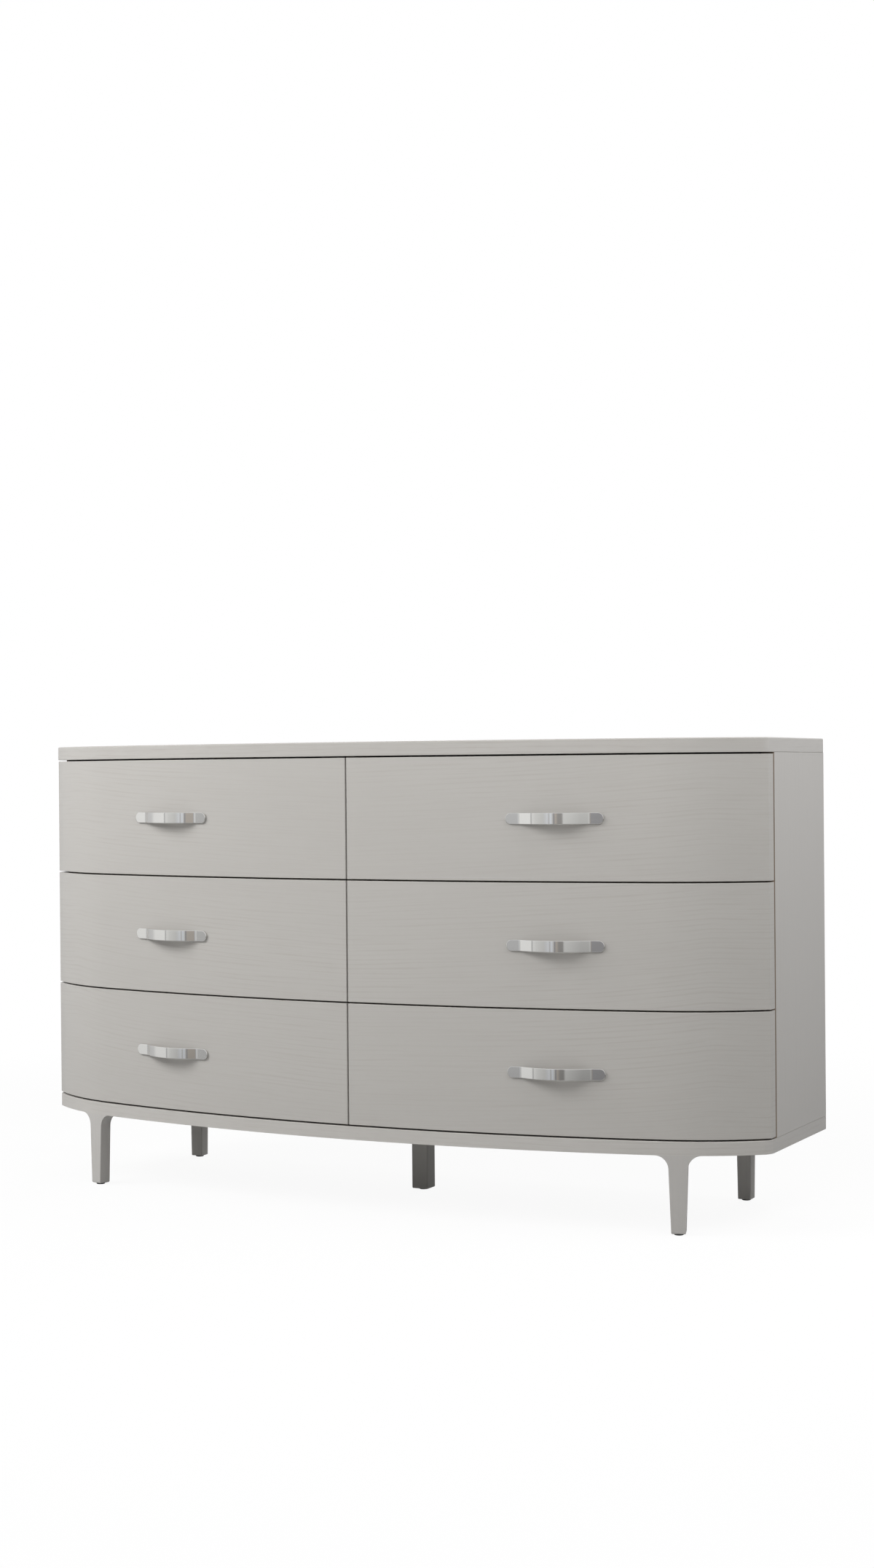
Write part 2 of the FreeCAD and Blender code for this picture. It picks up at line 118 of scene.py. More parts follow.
HALF_SPAN = FRONT_SPAN / 2
CASE_HALF = HALF_SPAN + SIDE_REVEAL
BLEND_SINE = (HALF_SPAN - CORNER_RUN) / FRONT_RADIUS
BLEND_ANGLE = math.asin(BLEND_SINE)
CORNER_RADIUS = CORNER_RUN / (math.sin(CORNER_ANGLE) - BLEND_SINE)
BOW_DEPTH = FRONT_RADIUS * (1 - math.cos(BLEND_ANGLE)) + CORNER_RADIUS * (
    math.cos(BLEND_ANGLE) - math.cos(CORNER_ANGLE)
)
BACK_Y = (SLAB_OVERHANG + BOW_DEPTH + SIDE_DEPTH) / 2
FRONT_Y = BACK_Y - SIDE_DEPTH - BOW_DEPTH
BOW_CENTRE = Vector((0, FRONT_Y + FRONT_RADIUS, 0))
CORNER_CENTRE = Vector((
    (FRONT_RADIUS - CORNER_RADIUS) * BLEND_SINE,
    BOW_CENTRE.y - (FRONT_RADIUS - CORNER_RADIUS) * math.cos(BLEND_ANGLE),
    0,
))
ROWS = ("lower", "middle", "upper")
SIDES = {"left": -1, "right": 1}
UP = (0, 0, 1)

# A pull's strap in plan: a crown, and on each side a straight ramp, a bend and a flat tab

STRAP_CORNER = PULL_LENGTH / 2 - PULL_TAB
CREST_X = CROWN_SHARE * STRAP_CORNER
RAMP_ANGLE = math.atan2(PULL_RISE, STRAP_CORNER - CREST_X)
TAB_X = STRAP_CORNER + PULL_FOOT_RADIUS * math.tan(RAMP_ANGLE / 2)
CROWN_RADIUS = CREST_X / math.tan(RAMP_ANGLE / 2)


# Making pieces


def verts_of(geometry):
    return [g for g in geometry if isinstance(g, bmesh.types.BMVert)]


def everything(bm):
    return bm.verts[:] + bm.edges[:] + bm.faces[:]


def turn_about(bm, geometry, centre, angle, steps):
    """Sweeps geometry about an upright axis and gives its last copy."""
    swept = bmesh.ops.spin(
        bm, geom=geometry, cent=centre, axis=UP, dvec=(0, 0, 0), angle=angle,
        steps=steps, use_merge=False, use_duplicate=False,
    )
    return swept["geom_last"]


def trim(bm, point, outward):
    """Cuts away what lies outward of a plane and closes the cut."""
    cut = bmesh.ops.bisect_plane(
        bm, geom=everything(bm), dist=CUT_NEAR, plane_co=point, plane_no=outward,
        clear_outer=True,
    )
    rim = [g for g in cut["geom_cut"] if isinstance(g, bmesh.types.BMEdge)]
    bmesh.ops.contextual_create(bm, geom=rim)


def score(bm, points, normal):
    """Lays cross lines over a shape, so that it can be bent there."""
    for point in points:
        bmesh.ops.bisect_plane(
            bm, geom=everything(bm), dist=CUT_NEAR, plane_co=point, plane_no=normal,
        )


def sharp_edges(bm, wanted):
    """Edges between faces that meet at a sharp angle, where wanted says so of their middle."""
    return [
        edge for edge in bm.edges
        if len(edge.link_faces) == 2
        and edge.calc_face_angle(0) > SHARP_ANGLE
        and wanted((edge.verts[0].co + edge.verts[1].co) / 2)
    ]


def standing(low, high):
    """A test for edges that stand upright between two heights."""
    middle = (low + high) / 2
    return lambda m: abs(m.z - middle) < NEAR


def ease(bm, edges, radius, segments=3):
    """Rounds edges over."""
    bmesh.ops.bevel(
        bm, geom=edges, offset=radius, offset_type="OFFSET", segments=segments,
        profile=0.5, affect="EDGES", material=-1, clamp_overlap=True,
    )


def finish_piece(name, bm, body, paints, stands_for, side=1, paint_for=None):
    """Makes an object of a shape, mirrored for the left side, that moves with a body."""
    if side < 0:
        bmesh.ops.scale(bm, vec=(-1, 1, 1), verts=bm.verts[:])
    bmesh.ops.recalc_face_normals(bm, faces=bm.faces[:])
    bm.normal_update()
    for face in bm.faces:
        face.smooth = True
        if paint_for:
            face.material_index = paint_for(face.normal)
    mesh = bpy.data.meshes.new(name)
    bm.to_mesh(mesh)
    bm.free()
    mesh.set_sharp_from_angle(angle=SHADING_ANGLE)
    for paint in paints:
        mesh.materials.append(paint)
    piece = bpy.data.objects.new(name, mesh)
    bpy.context.scene.collection.objects.link(piece)
    shading = piece.modifiers.new("even shading", "WEIGHTED_NORMAL")
    shading.keep_sharp = True
    shading.weight = 80
    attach(piece, body)
    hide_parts(*stands_for)
    return piece


# Case boards


def bowed_board(outset, end_x, z_low, z_high):
    """A flat board with the dresser's plan."""
    bm = bmesh.new()
    tip = [bm.verts.new((0, FRONT_Y - outset, z_low))]
    end_angle = math.asin((end_x - CORNER_CENTRE.x) / (CORNER_RADIUS + outset))
    tip = verts_of(turn_about(bm, tip, BOW_CENTRE, BLEND_ANGLE, BOW_STEPS))
    corner_turn = end_angle - BLEND_ANGLE
    tip = verts_of(turn_about(bm, tip, CORNER_CENTRE, corner_turn, SLAB_CORNER_STEPS))
    for corner in ((end_x, BACK_Y, z_low), (0, BACK_Y, z_low)):
        tip = bmesh.ops.extrude_vert_indiv(bm, verts=tip)["verts"]
        tip[0].co = corner
    bmesh.ops.mirror(bm, geom=everything(bm), merge_dist=WELD, axis="X")
    bmesh.ops.remove_doubles(bm, verts=bm.verts[:], dist=WELD)
    bmesh.ops.contextual_create(bm, geom=bm.edges[:])
    raised = bmesh.ops.extrude_face_region(bm, geom=bm.faces[:])["geom"]
    bmesh.ops.translate(bm, vec=(0, 0, z_high - z_low), verts=verts_of(raised))
    bmesh.ops.recalc_face_normals(bm, faces=bm.faces[:])
    return bm


def slab_paint(normal):
    """Edge band all round, veneer along the length above and below."""
    return 1 if abs(normal.z) > LEVEL_FACE else 0


def slab(node, front_corner, rear_corner):
    """Board with the dresser's plan, its front corners soft and its rear ones eased."""
    low, high = (point.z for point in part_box(node))
    bm = bowed_board(SLAB_OVERHANG, CASE_HALF, low, high)
    stands = standing(low, high)
    ease(bm, sharp_edges(bm, lambda m: stands(m) and m.y < 0), front_corner, 8)
    ease(bm, sharp_edges(bm, stands), rear_corner, 4)
    return bm, low, high


def top_slab(paints):
    """Top board, eased more above than beside the drawers."""
    bm, low, high = slab("top_panel", SLAB_CORNER, OUTER_ARRIS)
    ease(bm, sharp_edges(bm, lambda m: m.z > high - NEAR), OUTER_ARRIS, 4)
    ease(bm, sharp_edges(bm, lambda m: m.z < low + NEAR), SLAB_ARRIS)
    finish_piece(
        "top_slab", bm, "case", paints, ["top_panel"], paint_for=slab_paint,
    )


def base_slab(paints):
    """Base board, eased below the drawers and sharp where the end boards and legs meet it."""
    bm, low, high = slab("base_panel", BASE_CORNER, SLAB_ARRIS)

    def below_drawers(m):
        return m.z > high - NEAR and abs(m.x) < CASE_HALF - NEAR and m.y < 0

    ease(bm, sharp_edges(bm, below_drawers), SLAB_ARRIS)
    finish_piece(
        "base_slab", bm, "case", paints, ["base_panel"], paint_for=slab_paint,
    )


def side_paint(normal):
    """Veneer on the face, brown raw edge behind the drawers' ends."""
    return 1 if normal.y < -FORWARD_FACE else 0


def side_board(side_name, paints):
    """End of the case, eased round its outer face."""
    node = side_name + "_side_panel"
    low, high = (corner.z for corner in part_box(node))
    bm = bowed_board(-SIDE_FRONT_SETBACK, CASE_HALF, low, high)
    trim(bm, (CASE_HALF - SIDE_THICKNESS, 0, 0), (-1, 0, 0))
    stands = standing(low, high)
    outer_x = CASE_HALF - OUTER_NEAR
    ease(bm, sharp_edges(bm, lambda m: stands(m) and m.y < 0), SIDE_FRONT_ARRIS, 4)
    ease(bm, sharp_edges(bm, lambda m: stands(m) and m.y > 0), BOARD_ARRIS, 2)
    ease(bm, sharp_edges(bm, lambda m: m.x > outer_x and m.z < low + NEAR), SIDE_FOOT_ARRIS)
    ease(bm, sharp_edges(bm, lambda m: m.x > outer_x and m.z > high - NEAR), BOARD_ARRIS, 2)
    name = side_name + "_end_board"
    finish_piece(
        name, bm, "case", paints, [node], SIDES[side_name],
        paint_for=side_paint,
    )


# Legs


def front_leg(side_name, paint):
    """Tapered post that spreads into coves under the base and follows the bow."""
    node = side_name + "_front_leg"
    low, high = (corner.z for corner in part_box(node))
    cove_z = high - COVE_RADIUS
    touch_z = cove_z + COVE_RADIUS * math.sin(FRONT_LEG_TAPER)
    foot_x = FRONT_FOOT_WIDTH / 2
    touch_x = foot_x + (touch_z - low) * math.tan(FRONT_LEG_TAPER)
    cove_x = touch_x + COVE_RADIUS * math.cos(FRONT_LEG_TAPER)
    bm = bmesh.new()
    tip = [bm.verts.new((0, 0, low))]
    for corner in ((foot_x, 0, low), (touch_x, 0, touch_z)):
        tip = bmesh.ops.extrude_vert_indiv(bm, verts=tip)["verts"]
        tip[0].co = corner
    cove = bmesh.ops.spin(
        bm, geom=tip, cent=(cove_x, 0, cove_z), axis=(0, 1, 0), dvec=(0, 0, 0),
        angle=math.pi / 2 - FRONT_LEG_TAPER, steps=COVE_STEPS, use_merge=False,
        use_duplicate=False,
    )
    tip = bmesh.ops.extrude_vert_indiv(bm, verts=verts_of(cove["geom_last"]))["verts"]
    tip[0].co = (0, 0, high)
    bmesh.ops.mirror(bm, geom=everything(bm), merge_dist=WELD, axis="X")
    bmesh.ops.remove_doubles(bm, verts=bm.verts[:], dist=WELD)
    bmesh.ops.contextual_create(bm, geom=bm.edges[:])
    inner = bmesh.ops.extrude_face_region(bm, geom=bm.faces[:])["geom"]
    bmesh.ops.translate(bm, vec=(0, FRONT_LEG_DEPTH, 0), verts=verts_of(inner))
    bmesh.ops.recalc_face_normals(bm, faces=bm.faces[:])
    ease(bm, sharp_edges(bm, lambda m: m.z < low + NEAR), FOOT_ARRIS, 5)
    ease(bm, sharp_edges(bm, lambda m: low + NEAR < m.z < high - NEAR), LEG_ARRIS)
    slices = int(cove_x / LEG_SLICE)
    score(bm, [(LEG_SLICE * k, 0, 0) for k in range(-slices, slices + 1)], (1, 0, 0))
    radius = CORNER_RADIUS + SLAB_OVERHANG
    rear_radius = radius - FRONT_LEG_DEPTH
    for vert in bm.verts:
        outer_y = radius - math.sqrt(radius ** 2 - vert.co.x ** 2)
        inner_y = radius - math.sqrt(rear_radius ** 2 - vert.co.x ** 2)
        vert.co.y = outer_y + (inner_y - outer_y) * vert.co.y / FRONT_LEG_DEPTH
    angle = math.asin((HALF_SPAN - FRONT_LEG_INSET - CORNER_CENTRE.x) / radius)
    turn = Matrix.Rotation(angle, 4, "Z")
    place = CORNER_CENTRE + turn @ Vector((0, -radius, 0))
    bmesh.ops.transform(bm, matrix=Matrix.Translation(place) @ turn, verts=bm.verts[:])
    name = side_name + "_coved_leg"
    finish_piece(name, bm, "case", [paint], [node], SIDES[side_name])


# Drawers


def front_paint(normal):
    """Veneer on the face and edges, sealed wood on the side towards the box."""
    return 1 if normal.y > INWARD_FACE else 0


def drawer_front(row, side_name, paints):
    """Bent front: its section is swept round the bow and cut off square to the sides."""
    drawer = row + "_" + side_name + "_drawer"
    low, high = (corner.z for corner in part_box(drawer + "_front"))
    inner_y = FRONT_Y + FRONT_THICKNESS
    bm = bmesh.new()
    section = [(0, FRONT_Y, low), (0, inner_y, low), (0, inner_y, high), (0, FRONT_Y, high)]
    bm.faces.new([bm.verts.new(corner) for corner in section])
    end = turn_about(bm, everything(bm), BOW_CENTRE, BLEND_ANGLE, BOW_STEPS)
    turn_about(bm, end, CORNER_CENTRE, FRONT_SWEEP - BLEND_ANGLE, FRONT_CORNER_STEPS)
    bmesh.ops.recalc_face_normals(bm, faces=bm.faces[:])
    trim(bm, (DRAWER_GAP / 2, 0, 0), (-1, 0, 0))
    trim(bm, (HALF_SPAN, 0, 0), (1, 0, 0))
    bmesh.ops.recalc_face_normals(bm, faces=bm.faces[:])

    def at_face(m):
        at_corner = m.x > HALF_SPAN - CORNER_RUN
        centre = CORNER_CENTRE if at_corner else BOW_CENTRE
        radius = CORNER_RADIUS if at_corner else FRONT_RADIUS
        return abs((Vector((m.x, m.y, 0)) - centre).length - radius) < FACE_NEAR

    ease(bm, sharp_edges(bm, at_face), FRONT_ARRIS)
    stands = standing(low, high)
    end_rear = sharp_edges(bm, lambda m: stands(m) and m.x > HALF_SPAN - NEAR and not at_face(m))
    ease(bm, end_rear, FRONT_END_ARRIS, 2)
    name = row + "_" + side_name + "_bowed_front"
    finish_piece(
        name, bm, drawer, paints, [drawer + "_front"], SIDES[side_name],
        paint_for=front_paint,
    )


def bow_sag(across):
    """How far the bow falls back at a distance from where it is touched."""
    return FRONT_RADIUS - math.sqrt(FRONT_RADIUS ** 2 - across ** 2)


def crown_point(angle):
    """Point of the strap's inner face on its crown."""
    return Vector((
        CROWN_RADIUS * math.sin(angle), CROWN_RADIUS * (1 - math.cos(angle)) - PULL_RISE,
    ))


def foot_point(angle):
    """Point of the strap's inner face on the bend beside a tab."""
    return Vector((
        TAB_X - PULL_FOOT_RADIUS * math.sin(angle), PULL_FOOT_RADIUS * (math.cos(angle) - 1),
    ))


RAMP_START = crown_point(RAMP_ANGLE)
RAMP_END = foot_point(RAMP_ANGLE)
CROWN_RUN = CROWN_RADIUS * RAMP_ANGLE
RAMP_RUN = (RAMP_END - RAMP_START).length
BEND_RUN = CROWN_RUN + RAMP_RUN + PULL_FOOT_RADIUS * RAMP_ANGLE


def strap_line(run):
    """Point of the bent strap's inner face, and its slope, at a run from the middle."""
    if run < CROWN_RUN:
        angle = run / CROWN_RADIUS
        return crown_point(angle), angle
    if run < CROWN_RUN + RAMP_RUN:
        return RAMP_START.lerp(RAMP_END, (run - CROWN_RUN) / RAMP_RUN), RAMP_ANGLE
    if run < BEND_RUN:
        angle = (BEND_RUN - run) / PULL_FOOT_RADIUS
        return foot_point(angle), angle
    x = TAB_X + run - BEND_RUN
    return Vector((x, bow_sag(x) - bow_sag(TAB_X))), 0


def strap_blank():
    """Flat strap with round ends, eased all round and scored where it is to be bent."""
    radius = PULL_HEIGHT / 2
    half_flat = BEND_RUN + PULL_LENGTH / 2 - TAB_X
    bm = bmesh.new()
    bmesh.ops.create_circle(bm, cap_ends=True, segments=STRAP_END_SEGMENTS, radius=radius)
    for vert in bm.verts:
        if abs(vert.co.x) > WELD:
            vert.co.x += math.copysign(half_flat - radius, vert.co.x)
    bmesh.ops.rotate(bm, matrix=Matrix.Rotation(math.pi / 2, 3, "X"), verts=bm.verts[:])
    outer = bmesh.ops.extrude_face_region(bm, geom=bm.faces[:])["geom"]
    bmesh.ops.translate(bm, vec=(0, -PULL_THICKNESS, 0), verts=verts_of(outer))
    bmesh.ops.recalc_face_normals(bm, faces=bm.faces[:])
    score(bm, [(x, 0, 0) for x in (-NEAR, NEAR)], (1, 0, 0))
    ease(bm, sharp_edges(bm, lambda m: True), PULL_ARRIS, 4)
    slices = int(BEND_RUN / STRAP_SLICE) + 2
    score(bm, [(STRAP_SLICE * k, 0, 0) for k in range(-slices, slices + 1)], (1, 0, 0))
    return bm


def strap_pull(row, side_name, paint):
    """Bent strap, its tabs shaped to the bow that they sit on."""
    bm = strap_blank()
    for vert in bm.verts:
        base, slope = strap_line(abs(vert.co.x))
        out = -vert.co.y
        vert.co.x = math.copysign(base.x + out * math.sin(slope), vert.co.x)
        vert.co.y = base.y - out * math.cos(slope)
    seat = bow_sag(TAB_X) - PULL_SEAT_GAP
    drawer = row + "_" + side_name + "_drawer"
    low, high = (corner.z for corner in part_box(drawer + "_front"))
    turn = Matrix.Rotation(math.asin((HALF_SPAN - PULL_INSET) / FRONT_RADIUS), 4, "Z")
    place = BOW_CENTRE + turn @ Vector((0, -FRONT_RADIUS, 0)) + Vector((0, 0, (low + high) / 2))
    settle = Matrix.Translation(place) @ turn @ Matrix.Translation((0, seat, 0))
    bmesh.ops.transform(bm, matrix=settle, verts=bm.verts[:])
    node = row + "_" + side_name + "_pull"
    name = row + "_" + side_name + "_strap"
    finish_piece(name, bm, drawer, [paint], [node], SIDES[side_name])


# Finishes


class Signal:
    """A value that varies over a surface. Arithmetic on it adds the nodes that work it out."""

    def __init__(self, recipe, socket):
        self.recipe = recipe
        self.socket = socket

    def math(self, operation, *others, clamp=False):
        links = dict(enumerate((self,) + others))
        return self.recipe.node("Math", {"operation": operation, "use_clamp": clamp}, links)

    def __add__(self, other):
        return self.math("ADD", other)

    def __radd__(self, other):
        return self.math("ADD", other)

    def __sub__(self, other):
        return self.math("SUBTRACT", other)

    def __rsub__(self, other):
        return self.recipe.node("Math", {"operation": "SUBTRACT"}, {0: other, 1: self})

    def __mul__(self, other):
        return self.math("MULTIPLY", other)

    def __truediv__(self, other):
        return self.math("DIVIDE", other)

    def size(self):
        return self.math("ABSOLUTE")

    def root(self):
        return self.math("SQRT")

    def clamped(self):
        return self.math("ADD", 0.0, clamp=True)

    def rise(self, low, high):
        """0 below low, 1 above high, smooth between."""
        settings = {"interpolation_type": "SMOOTHSTEP"}
        links = {"Value": self, "From Min": low, "From Max": high}
        return self.recipe.node("MapRange", settings, links)


class Recipe:
    """The nodes of a finish, or of the surroundings."""

    def __init__(self, owner):
        owner.use_nodes = True
        self.owner = owner
        self.tree = owner.node_tree
        self.tree.nodes.clear()

    def node(self, kind, settings=None, links=None, output=0):
        """Adds a node: its settings first, then the values or links of its sockets."""
        made = self.tree.nodes.new("ShaderNode" + kind)
        for key, value in (settings or {}).items():
            if key == "stops":
                made.color_ramp.elements.remove(made.color_ramp.elements[1])
                made.color_ramp.elements[0].color = value[0][1]
                for position, colour in value[1:]:
                    made.color_ramp.elements.new(position).color = colour
            else:
                setattr(made, key, value)
        for key, value in (links or {}).items():
            if isinstance(value, Signal):
                self.tree.links.new(value.socket, made.inputs[key])
            else:
                made.inputs[key].default_value = value
        return Signal(self, made.outputs[output]) if made.outputs else None

    def axes(self, coordinates="Object"):
        """Coordinates, one signal for each axis."""
        point = self.node("TexCoord", output=coordinates)
        return [self.node("SeparateXYZ", links={0: point}, output=i) for i in range(3)]

    def board_axes(self, order):
        """Coordinates along the grain, across it and through the board, as order names them."""
        axes = dict(zip("xyz", self.axes()))
        return [axes[letter] for letter in order]

    def noise(self, x, y, z, detail=2.0):
        place = self.node("CombineXYZ", links={0: x, 1: y, 2: z})
        links = {"Vector": place, "Scale": 1.0, "Detail": detail, "Roughness": 0.5}
        return self.node("TexNoise", {"noise_dimensions": "3D"}, links)

    def blend(self, factor, low, high):
        """Mixes two colours."""
        settings = {"data_type": "RGBA", "blend_type": "MIX", "clamp_factor": True}
        return self.node("Mix", settings, {0: factor, 6: low, 7: high}, output=2)

    def bump(self, height, strength, distance):
        return self.node("Bump", links={
            "Height": height, "Strength": strength, "Distance": distance,
        })

    def surface(self, **sockets):
        """Lacquer, wood, metal or plastic: names are the shader's sockets, with _ for a space."""
        links = {key.replace("_", " "): value for key, value in sockets.items()}
        return self.show(self.node("BsdfPrincipled", links=links))

    def show(self, shader):
        kind = "OutputWorld" if isinstance(self.owner, bpy.types.World) else "OutputMaterial"
        self.node(kind, links={"Surface": shader})
        return self.owner


def finish(name):
    return Recipe(bpy.data.materials.new(name))


# Grain on the drawer fronts: where it humps, how round the hump's crest is, how far it
# reaches, its rise at floor level and what it loses for each metre up, the grain's slope
# towards the ends, and how far apart its late wood lies

HUMP_X = 0.715
HUMP_SOFTNESS = 0.012
HUMP_REACH = 0.14
HUMP_RISE = 0.0228
HUMP_LOSS = 0.0138
GRAIN_SLOPE = 0.035
RING_PITCH = 0.0095


def arched_level(along, height):
    """Height of the grain on the fronts: it sags towards the middle and humps near the ends."""
    apart = along.size() - HUMP_X
    hump = ((apart * apart + HUMP_SOFTNESS ** 2).root() / -HUMP_REACH).math("EXPONENT")
    return height - along.size() * GRAIN_SLOPE - hump * (HUMP_RISE - height * HUMP_LOSS)


def lay_veneer(recipe, along, height, depth, wash, bold, level=None):
    """Pearl-grey wash with the late wood showing through it, under a satin lacquer."""
    level = height if level is None else level
    level = level + (recipe.noise(along * 1.3, height * 3.0, depth * 0.7) - 0.5) * 0.016
    drift = recipe.noise(along * 2.2, level * 36.0, depth * 2.0) - 0.5
    ring = (level / RING_PITCH + drift * 1.7).math("PINGPONG", 0.5)
    broken = recipe.noise(along * 9.0, level * 150.0, depth * 9.0, detail=1.0)
    cloud = recipe.noise(along * 2.2, height * 7.0, depth * 3.0, detail=3.0)
    late = (1 - ring.rise(0.05, 0.21)) * (broken.rise(0.40, 0.60) * 0.75 + 0.25)
    fibre = recipe.noise(along * 5.0, level * 330.0, depth * 20.0, detail=2.0)
    pores = recipe.noise(along * 42.0, level * 1000.0, depth * 60.0, detail=1.0)
    ribbon = late * (cloud.rise(0.36, 0.62) * 0.75 + 0.25)
    fine = fibre.rise(0.42, 0.75) * 0.06 + pores.rise(0.60, 0.76) * 0.06
    shade = (ribbon * 0.125 + fine) * bold
    washed, lighter, darker = wash
    colour = recipe.blend(shade, recipe.blend(cloud, washed, lighter), darker)
    return recipe.surface(
        Base_Color=colour, Roughness=cloud * 0.08 + 0.34,
        Normal=recipe.bump(pores, 0.05, 0.0002), Coat_Weight=0.3, Coat_Roughness=0.16,
    )


def washed_veneer(name, order, wash, bold=1.0, arch=False):
    """Veneer on one side of a board; order names the axes along, across and through it."""
    recipe = finish(name)
    along, height, depth = recipe.board_axes(order)
    level = arched_level(along, height) if arch else height
    return lay_veneer(recipe, along, height, depth, wash, bold, level)


def edge_band(name, front_wash, end_wash, bold):
    """Veneer that runs along a slab's front edge and round its corners to the ends."""
    recipe = finish(name)
    x, y, z = recipe.axes()
    round_corner = x.size().rise(HALF_SPAN - BASE_CORNER, HALF_SPAN + SIDE_REVEAL)
    wash = [recipe.blend(round_corner, *pair) for pair in zip(front_wash, end_wash)]
    return lay_veneer(recipe, x + y, z, y - x, wash, bold)


def plain_wood(name, order, dark, light, roughness):
    """Bare or sealed wood of the inside, the back and the end boards' front edges."""
    recipe = finish(name)
    along, height, depth = recipe.board_axes(order)
    swing = recipe.noise(along * 1.5, height * 5.0, depth * 5.0) - 0.5
    level = height + swing * 0.05
    rings = recipe.noise(along * 2.0, level * 70.0, depth * 30.0, detail=3.0)
    pores = recipe.noise(along * 30.0, level * 700.0, depth * 500.0, detail=1.0)
    shade = (rings.rise(0.35, 0.70) * 0.8 + pores.rise(0.55, 0.8) * 0.3).clamped()
    return recipe.surface(
        Base_Color=recipe.blend(shade, light, dark), Roughness=rings * 0.15 + roughness,
        Normal=recipe.bump(pores, 0.12, 0.0003),
    )


def polished_nickel():
    """Bright plated metal with the faint waviness of a polished strap."""
    recipe = finish("polished nickel")
    x, y, z = recipe.axes()
    waves = recipe.noise(x * 20.0, y * 20.0, z * 34.0, detail=1.0)
    hairs = recipe.noise(x * 60.0, y * 60.0, z * 2600.0, detail=1.0)
    return recipe.surface(
        Base_Color=(0.76, 0.755, 0.74, 1), Metallic=1.0, Roughness=hairs * 0.05 + 0.05,
        Normal=recipe.bump(waves, 0.05, 0.001),
    )


def zinc_steel():
    """Dull zinc plate on the screws and bolts."""
    recipe = finish("zinc steel")
    x, y, z = recipe.axes()
    bloom = recipe.noise(x * 300.0, y * 300.0, z * 300.0, detail=3.0)
    return recipe.surface(
        Base_Color=recipe.blend(bloom, (0.42, 0.42, 0.40, 1), (0.62, 0.62, 0.60, 1)),
        Metallic=1.0, Roughness=bloom * 0.2 + 0.25,
    )


def black_nylon():
    """Floor glides."""
    recipe = finish("black nylon")
    x, y, z = recipe.axes()
    grain = recipe.noise(x * 900.0, y * 900.0, z * 900.0)
    return recipe.surface(
        Base_Color=recipe.blend(grain, (0.012, 0.012, 0.013, 1), (0.030, 0.030, 0.031, 1)),
        Roughness=grain * 0.2 + 0.4, Normal=recipe.bump(grain, 0.2, 0.0002),
    )


# Two depths of a wash, and the darker late wood that shows through it
WARM_WASH = ((0.468, 0.452, 0.428, 1), (0.502, 0.487, 0.462, 1), (0.265, 0.215, 0.185, 1))
PALE_WASH = ((0.505, 0.489, 0.464, 1), (0.545, 0.528, 0.502, 1), (0.265, 0.215, 0.185, 1))
COOL_WASH = ((0.494, 0.479, 0.460, 1), (0.520, 0.504, 0.484, 1), (0.300, 0.270, 0.245, 1))

front_veneer = washed_veneer("washed veneer on the drawer fronts", "xzy", WARM_WASH, arch=True)
top_band = edge_band("washed veneer round the top slab's edge", WARM_WASH, COOL_WASH, 1.2)
base_band = edge_band("washed veneer round the base slab's edge", PALE_WASH, COOL_WASH, 1.2)
slab_veneer = washed_veneer("washed veneer on the slabs' faces", "xyz", WARM_WASH)
end_veneer = washed_veneer("washed veneer on the ends", "zyx", COOL_WASH, bold=0.5)
leg_veneer = washed_veneer("washed veneer on the legs", "zxy", COOL_WASH, bold=0.5)
nickel = polished_nickel()

OAK = ((0.33, 0.22, 0.13, 1), (0.56, 0.43, 0.29, 1))
POPLAR = ((0.47, 0.36, 0.23, 1), (0.66, 0.55, 0.39, 1))
BOARD = ((0.30, 0.25, 0.20, 1), (0.42, 0.36, 0.29, 1))
STAINED = ((0.22, 0.20, 0.18, 1), (0.33, 0.30, 0.27, 1))
UMBER = ((0.18, 0.14, 0.105, 1), (0.27, 0.215, 0.165, 1))
rail_wood = plain_wood("waxed rail wood", "yxz", *OAK, 0.40)
side_wood = plain_wood("sealed drawer side wood", "yzx", *POPLAR, 0.45)
rear_wood = plain_wood("sealed drawer back wood", "xzy", *POPLAR, 0.45)
bottom_wood = plain_wood("drawer bottom ply", "xyz", *POPLAR, 0.50)
shelf_wood = plain_wood("dust shelf board", "xyz", *BOARD, 0.60)
divider_wood = plain_wood("divider board", "zyx", *BOARD, 0.60)
edge_wood = plain_wood("brown raw board edge", "zxy", *UMBER, 0.60)
back_wood = plain_wood("stained back board", "zxy", *STAINED, 0.60)
steel = zinc_steel()
nylon = black_nylon()

KEPT_NODES = {
    "center_divider": divider_wood, "back_panel": back_wood,
    "upper_dust_shelves": shelf_wood, "lower_dust_shelves": shelf_wood,
    "base_runners": rail_wood, "center_rails": rail_wood, "drawer_stops": rail_wood,
    "center_leg": leg_veneer, "left_rear_leg": leg_veneer, "right_rear_leg": leg_veneer,
    "leg_glides": nylon, "leg_bolts": steel,
}
KEPT_DRAWER_NODES = {
    "drawer_sides": side_wood, "drawer_back": rear_wood, "drawer_bottom": bottom_wood,
    "guide_channel": rail_wood, "pull_screws": steel,
}


def paint_node(node, paint):
    """Gives a solid of the model its finish."""
    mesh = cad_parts[node].data
    mesh.materials.clear()
    mesh.materials.append(paint)


for node, paint in KEPT_NODES.items():
    paint_node(node, paint)
top_slab([top_band, slab_veneer])
base_slab([base_band, slab_veneer])
for side_name in SIDES:
    side_board(side_name, [end_veneer, edge_wood])
    front_leg(side_name, leg_veneer)
    for row in ROWS:
        drawer_front(row, side_name, [front_veneer, rear_wood])
        strap_pull(row, side_name, nickel)
        for part, paint in KEPT_DRAWER_NODES.items():
            paint_node(row + "_" + side_name + "_" + part, paint)


# Studio

